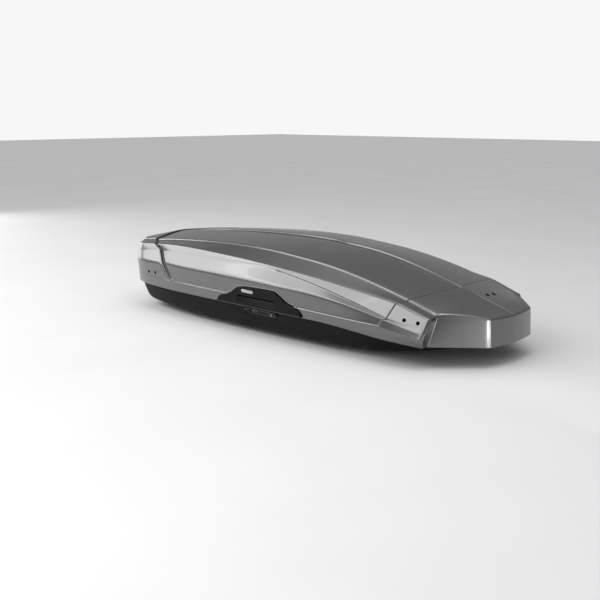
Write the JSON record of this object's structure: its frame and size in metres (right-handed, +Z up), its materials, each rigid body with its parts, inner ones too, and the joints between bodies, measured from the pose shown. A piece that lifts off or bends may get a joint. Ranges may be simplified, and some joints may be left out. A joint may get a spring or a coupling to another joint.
{
  "type": "roof cargo box",
  "caption": "Long two-shell car roof cargo box with a glossy metallic lid that opens from either side, a black tub, side handles with locks and bar clamps.",
  "frame": {"origin": "centre of the tub's flat underside, where it rests on the car's cross bars", "axes": "+X towards the nose, +Y to the left, +Z up"},
  "size_m": [2.1958, 0.932, 0.431],
  "materials": {
    "lid_paint": "glossy metallic grey moulded sheet",
    "tub_plastic": "black grained moulded sheet",
    "trim_plastic": "black satin moulding",
    "knob_plastic": "dark red moulded grip",
    "webbing": "black woven webbing",
    "rail_aluminium": "mill finish extrusion",
    "lifter_black": "black painted tube",
    "key_metal": "bright nickel",
    "steel": "zinc plated steel"
  },
  "bodies": {
    "root": {"base_shell": "tub_plastic", "floor_rail_right": "rail_aluminium", "catch_rail_right": "steel", "lock_housing_right": "trim_plastic", "floor_rail_left": "rail_aluminium", "catch_rail_left": "steel", "lock_housing_left": "trim_plastic", "lifter_bracket_base_rear": "steel", "luggage_strap_rear": "webbing", "strap_buckle_rear": "trim_plastic", "lifter_bracket_base_front": "steel", "luggage_strap_front": "webbing", "strap_buckle_front": "trim_plastic"},
    "left_pins": {"hinge_pin_left_rear": "steel", "hinge_pin_left_middle": "steel", "hinge_pin_left_front": "steel"},
    "lid": {"lid_shell": "lid_paint", "lid_stiffener_rear": "tub_plastic", "lid_stiffener_front": "tub_plastic", "handle_trim_right": "trim_plastic", "lid_side_frame_right": "tub_plastic", "hinge_pin_right_rear": "steel", "hinge_pin_right_middle": "steel", "hinge_pin_right_front": "steel", "handle_trim_left": "trim_plastic", "lid_side_frame_left": "tub_plastic", "lifter_bracket_lid_rear": "steel", "lifter_bracket_lid_front": "steel"},
    "lock_right": {"lock_slider_right": "trim_plastic", "lock_bar_right": "steel"},
    "key_right": {"key_cylinder_right": "key_metal"},
    "lock_left": {"lock_slider_left": "trim_plastic", "lock_bar_left": "steel"},
    "key_left": {"key_cylinder_left": "key_metal"},
    "clamp_rear_right": {"clamp_housing_rear_right": "trim_plastic"},
    "knob_rear_right": {"clamp_knob_rear_right": "knob_plastic"},
    "claw_front_rear_right": {"clamp_claw_front_rear_right": "steel"},
    "claw_rear_rear_right": {"clamp_claw_rear_rear_right": "steel"},
    "clamp_rear_left": {"clamp_housing_rear_left": "trim_plastic"},
    "knob_rear_left": {"clamp_knob_rear_left": "knob_plastic"},
    "claw_front_rear_left": {"clamp_claw_front_rear_left": "steel"},
    "claw_rear_rear_left": {"clamp_claw_rear_rear_left": "steel"},
    "clamp_front_right": {"clamp_housing_front_right": "trim_plastic"},
    "knob_front_right": {"clamp_knob_front_right": "knob_plastic"},
    "claw_front_front_right": {"clamp_claw_front_front_right": "steel"},
    "claw_rear_front_right": {"clamp_claw_rear_front_right": "steel"},
    "clamp_front_left": {"clamp_housing_front_left": "trim_plastic"},
    "knob_front_left": {"clamp_knob_front_left": "knob_plastic"},
    "claw_front_front_left": {"clamp_claw_front_front_left": "steel"},
    "claw_rear_front_left": {"clamp_claw_rear_front_left": "steel"},
    "lifter_yoke_rear": {"lifter_yoke_rear": "trim_plastic"},
    "lifter_tube_rear": {"lifter_tube_rear": "lifter_black"},
    "lifter_rod_rear": {"lifter_rod_rear": "steel"},
    "lifter_eye_rear": {"lifter_eye_rear": "trim_plastic"},
    "lifter_yoke_front": {"lifter_yoke_front": "trim_plastic"},
    "lifter_tube_front": {"lifter_tube_front": "lifter_black"},
    "lifter_rod_front": {"lifter_rod_front": "steel"},
    "lifter_eye_front": {"lifter_eye_front": "trim_plastic"}
  },
  "joints": [
    {"name": "open_left", "type": "hinge", "parent": "root", "child": "left_pins", "pos_m": [0, -0.405, 0.112], "axis": [1, 0, 0], "range_deg": [0, 44]},
    {"name": "open_right", "type": "hinge", "parent": "left_pins", "child": "lid", "pos_m": [0, 0.405, 0.112], "axis": [1, 0, 0], "range_deg": [-44, 0]},
    {"name": "lock_slide_right", "type": "slide", "parent": "root", "child": "lock_right", "axis": [-1, 0, 0], "range_m": [0, 0.016]},
    {"name": "key_turn_right", "type": "hinge", "parent": "root", "child": "key_right", "pos_m": [0.043, -0.426, 0.088], "axis": [0, 1, 0], "range_deg": [0, 90]},
    {"name": "lock_slide_left", "type": "slide", "parent": "root", "child": "lock_left", "axis": [-1, 0, 0], "range_m": [0, 0.016]},
    {"name": "key_turn_left", "type": "hinge", "parent": "root", "child": "key_left", "pos_m": [0.043, 0.426, 0.088], "axis": [0, 1, 0], "range_deg": [0, 90]},
    {"name": "clamp_slide_rear_right", "type": "slide", "parent": "root", "child": "clamp_rear_right", "axis": [1, 0, 0], "range_m": [-0.06, 0.06]},
    {"name": "knob_turn_rear_right", "type": "hinge", "parent": "clamp_rear_right", "child": "knob_rear_right", "pos_m": [-0.48, -0.215, 0.05], "axis": [0, 0, 1], "range_deg": [0, 360]},
    {"name": "claw_swing_front_rear_right", "type": "hinge", "parent": "clamp_rear_right", "child": "claw_front_rear_right", "pos_m": [-0.422, -0.215, 0.018], "axis": [0, 1, 0], "range_deg": [-35, 0]},
    {"name": "claw_swing_rear_rear_right", "type": "hinge", "parent": "clamp_rear_right", "child": "claw_rear_rear_right", "pos_m": [-0.538, -0.215, 0.018], "axis": [0, 1, 0], "range_deg": [0, 35]},
    {"name": "clamp_slide_rear_left", "type": "slide", "parent": "root", "child": "clamp_rear_left", "axis": [1, 0, 0], "range_m": [-0.06, 0.06]},
    {"name": "knob_turn_rear_left", "type": "hinge", "parent": "clamp_rear_left", "child": "knob_rear_left", "pos_m": [-0.48, 0.215, 0.05], "axis": [0, 0, 1], "range_deg": [0, 360]},
    {"name": "claw_swing_front_rear_left", "type": "hinge", "parent": "clamp_rear_left", "child": "claw_front_rear_left", "pos_m": [-0.422, 0.215, 0.018], "axis": [0, 1, 0], "range_deg": [-35, 0]},
    {"name": "claw_swing_rear_rear_left", "type": "hinge", "parent": "clamp_rear_left", "child": "claw_rear_rear_left", "pos_m": [-0.538, 0.215, 0.018], "axis": [0, 1, 0], "range_deg": [0, 35]},
    {"name": "clamp_slide_front_right", "type": "slide", "parent": "root", "child": "clamp_front_right", "axis": [1, 0, 0], "range_m": [-0.06, 0.06]},
    {"name": "knob_turn_front_right", "type": "hinge", "parent": "clamp_front_right", "child": "knob_front_right", "pos_m": [0.27, -0.215, 0.05], "axis": [0, 0, 1], "range_deg": [0, 360]},
    {"name": "claw_swing_front_front_right", "type": "hinge", "parent": "clamp_front_right", "child": "claw_front_front_right", "pos_m": [0.328, -0.215, 0.018], "axis": [0, 1, 0], "range_deg": [-35, 0]},
    {"name": "claw_swing_rear_front_right", "type": "hinge", "parent": "clamp_front_right", "child": "claw_rear_front_right", "pos_m": [0.212, -0.215, 0.018], "axis": [0, 1, 0], "range_deg": [0, 35]},
    {"name": "clamp_slide_front_left", "type": "slide", "parent": "root", "child": "clamp_front_left", "axis": [1, 0, 0], "range_m": [-0.06, 0.06]},
    {"name": "knob_turn_front_left", "type": "hinge", "parent": "clamp_front_left", "child": "knob_front_left", "pos_m": [0.27, 0.215, 0.05], "axis": [0, 0, 1], "range_deg": [0, 360]},
    {"name": "claw_swing_front_front_left", "type": "hinge", "parent": "clamp_front_left", "child": "claw_front_front_left", "pos_m": [0.328, 0.215, 0.018], "axis": [0, 1, 0], "range_deg": [-35, 0]},
    {"name": "claw_swing_rear_front_left", "type": "hinge", "parent": "clamp_front_left", "child": "claw_rear_front_left", "pos_m": [0.212, 0.215, 0.018], "axis": [0, 1, 0], "range_deg": [0, 35]},
    {"name": "lifter_tilt_left_rear", "type": "hinge", "parent": "root", "child": "lifter_yoke_rear", "pos_m": [-0.9, 0.3, 0.112], "axis": [1, 0, 0], "range_deg": [-7.2, 0]},
    {"name": "lifter_tilt_right_rear", "type": "hinge", "parent": "lifter_yoke_rear", "child": "lifter_tube_rear", "pos_m": [-0.9, 0.3, 0.112], "axis": [1, 0, 0], "range_deg": [-55.2, 0]},
    {"name": "lifter_reach_left_rear", "type": "slide", "parent": "lifter_tube_rear", "child": "lifter_rod_rear", "axis": [0, -1, 0], "range_m": [0, 0.04]},
    {"name": "lifter_reach_right_rear", "type": "slide", "parent": "lifter_rod_rear", "child": "lifter_eye_rear", "axis": [0, -1, 0], "range_m": [0, 0.04]},
    {"name": "lifter_tilt_left_front", "type": "hinge", "parent": "root", "child": "lifter_yoke_front", "pos_m": [0.62, 0.3, 0.112], "axis": [1, 0, 0], "range_deg": [-7.2, 0]},
    {"name": "lifter_tilt_right_front", "type": "hinge", "parent": "lifter_yoke_front", "child": "lifter_tube_front", "pos_m": [0.62, 0.3, 0.112], "axis": [1, 0, 0], "range_deg": [-55.2, 0]},
    {"name": "lifter_reach_left_front", "type": "slide", "parent": "lifter_tube_front", "child": "lifter_rod_front", "axis": [0, -1, 0], "range_m": [0, 0.04]},
    {"name": "lifter_reach_right_front", "type": "slide", "parent": "lifter_rod_front", "child": "lifter_eye_front", "axis": [0, -1, 0], "range_m": [0, 0.04]}
  ],
  "couplings": [
    {"joint": "claw_swing_front_rear_right", "follows": "knob_turn_rear_right", "ratio": -0.097222},
    {"joint": "claw_swing_rear_rear_right", "follows": "knob_turn_rear_right", "ratio": 0.097222},
    {"joint": "claw_swing_front_rear_left", "follows": "knob_turn_rear_left", "ratio": -0.097222},
    {"joint": "claw_swing_rear_rear_left", "follows": "knob_turn_rear_left", "ratio": 0.097222},
    {"joint": "claw_swing_front_front_right", "follows": "knob_turn_front_right", "ratio": -0.097222},
    {"joint": "claw_swing_rear_front_right", "follows": "knob_turn_front_right", "ratio": 0.097222},
    {"joint": "claw_swing_front_front_left", "follows": "knob_turn_front_left", "ratio": -0.097222},
    {"joint": "claw_swing_rear_front_left", "follows": "knob_turn_front_left", "ratio": 0.097222},
    {"joint": "lifter_tilt_left_rear", "follows": "open_left", "ratio": -0.15022},
    {"joint": "lifter_tilt_right_rear", "follows": "open_right", "ratio": 1.1502},
    {"joint": "lifter_reach_left_rear", "follows": "open_left", "m_per_rad": 0.043859},
    {"joint": "lifter_reach_right_rear", "follows": "open_right", "m_per_rad": -0.043859},
    {"joint": "lifter_tilt_left_front", "follows": "open_left", "ratio": -0.15022},
    {"joint": "lifter_tilt_right_front", "follows": "open_right", "ratio": 1.1502},
    {"joint": "lifter_reach_left_front", "follows": "open_left", "m_per_rad": 0.043859},
    {"joint": "lifter_reach_right_front", "follows": "open_right", "m_per_rad": -0.043859}
  ]
}
